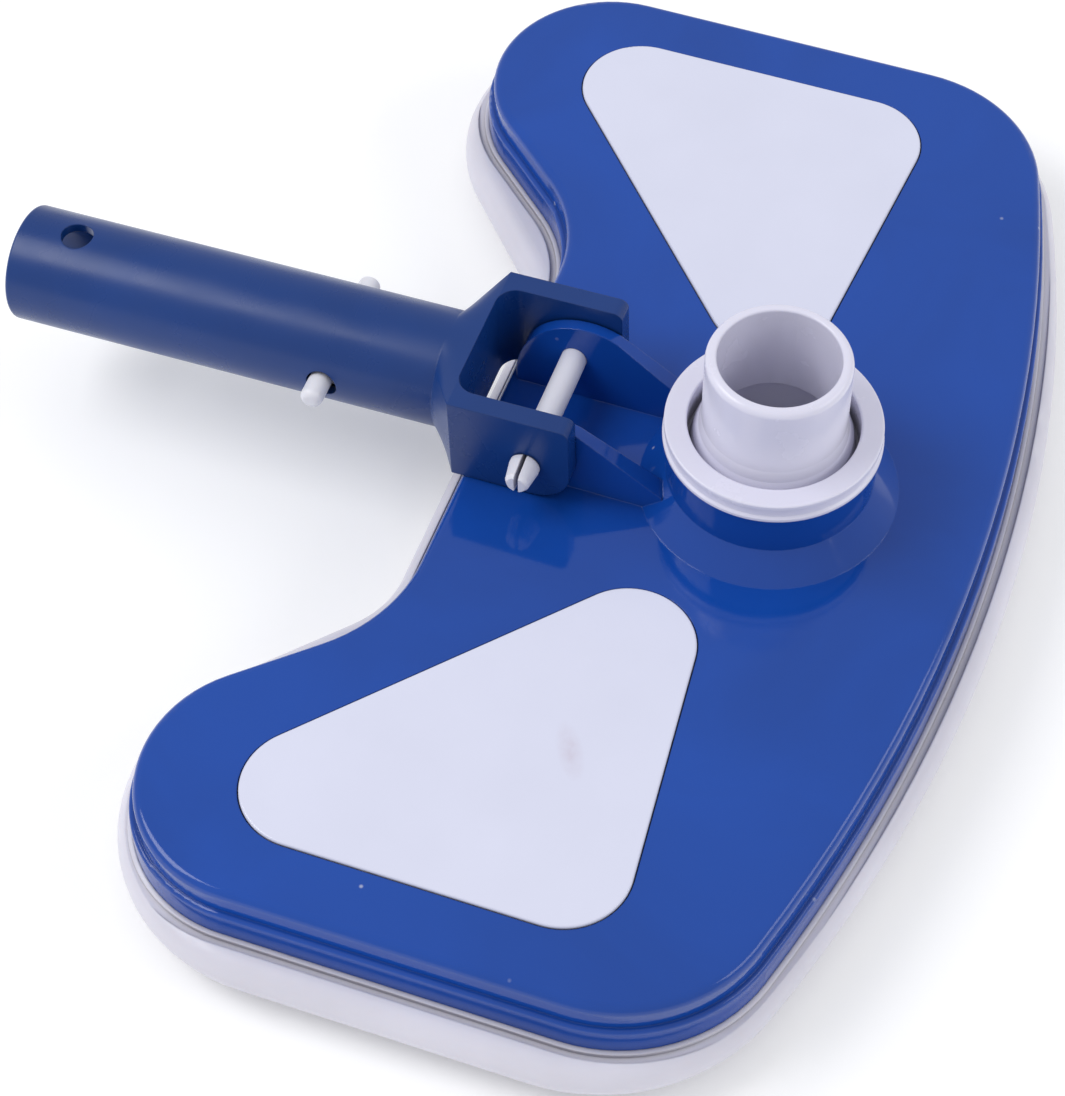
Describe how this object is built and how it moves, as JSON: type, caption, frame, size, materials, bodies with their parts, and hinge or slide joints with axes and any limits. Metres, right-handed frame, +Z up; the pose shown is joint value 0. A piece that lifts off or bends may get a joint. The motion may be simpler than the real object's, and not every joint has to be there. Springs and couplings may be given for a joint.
{
  "type": "manual pool vacuum head",
  "caption": "Weighted butterfly-shaped pool vacuum head with a swivel hose spigot, a soft bumper rim, underside brushes and a tilting pole handle with snap buttons.",
  "frame": {"origin": "on the floor under the middle of the bounding box, at the bristle tips", "axes": "+X across the head along its long dimension, +Y from the hose side to the handle side, +Z up along the hose spigot"},
  "size_m": [0.352, 0.2834, 0.0857],
  "materials": {
    "shell_blue": "gloss moulded ABS, royal blue",
    "handle_blue": "satin moulded ABS, darker blue",
    "cover_white": "gloss white plate",
    "joint_white": "semi-gloss white ABS",
    "bumper_white": "soft white vinyl",
    "clip_white": "white acetal",
    "pin_white": "white nylon",
    "seal_rubber": "black rubber",
    "ballast_iron": "rough cast, thin dip coat",
    "screw_steel": "stainless steel",
    "plate_blue": "satin moulded ABS",
    "bar_white": "white polypropylene",
    "bristle_nylon": "translucent white nylon filament"
  },
  "bodies": {
    "head": {"body_shell": "shell_blue", "base_plate": "plate_blue", "bumper": "bumper_white", "cover_plate_left": "cover_white", "cover_plate_right": "cover_white", "weight_left": "ballast_iron", "weight_right": "ballast_iron", "retaining_ring": "joint_white", "spigot_seal": "seal_rubber", "pivot_pin": "pin_white", "base_screws": "screw_steel", "brush_bar_front_right": "bar_white", "bristles_front_right": "bristle_nylon", "brush_bar_front_left": "bar_white", "bristles_front_left": "bristle_nylon", "brush_bar_side_right": "bar_white", "bristles_side_right": "bristle_nylon", "brush_bar_side_left": "bar_white", "bristles_side_left": "bristle_nylon", "brush_bar_lobe_right": "bar_white", "bristles_lobe_right": "bristle_nylon", "brush_bar_lobe_left": "bar_white", "bristles_lobe_left": "bristle_nylon", "brush_bar_rear_right": "bar_white", "bristles_rear_right": "bristle_nylon", "brush_bar_rear_left": "bar_white", "bristles_rear_left": "bristle_nylon"},
    "spigot": {"hose_spigot": "joint_white"},
    "handle_arm": {"handle": "handle_blue", "clip_bow": "clip_white"},
    "button_right": {"clip_leg_right": "clip_white"},
    "button_left": {"clip_leg_left": "clip_white"}
  },
  "joints": [
    {"name": "handle_tilt", "type": "hinge", "parent": "head", "child": "handle_arm", "pos_m": [0, -0.01381, 0.04666], "axis": [1, 0, 0], "range_deg": [0, 93]},
    {"name": "hose_swivel", "type": "hinge", "parent": "head", "child": "spigot", "pos_m": [0, -0.07351, 0.049], "axis": [0, 0, 1], "continuous": true},
    {"name": "press_right", "type": "hinge", "parent": "handle_arm", "child": "button_right", "pos_m": [0.003, 0.10815, 0.04368], "axis": [0, -0.0244, -0.9997], "range_deg": [0, 6.2], "stiffness_Nm_per_rad": 2.9, "springref_deg": -2.86},
    {"name": "press_left", "type": "hinge", "parent": "handle_arm", "child": "button_left", "pos_m": [-0.003, 0.10815, 0.04368], "axis": [0, 0.0244, 0.9997], "range_deg": [0, 6.2], "stiffness_Nm_per_rad": 2.9, "springref_deg": -2.86}
  ]
}
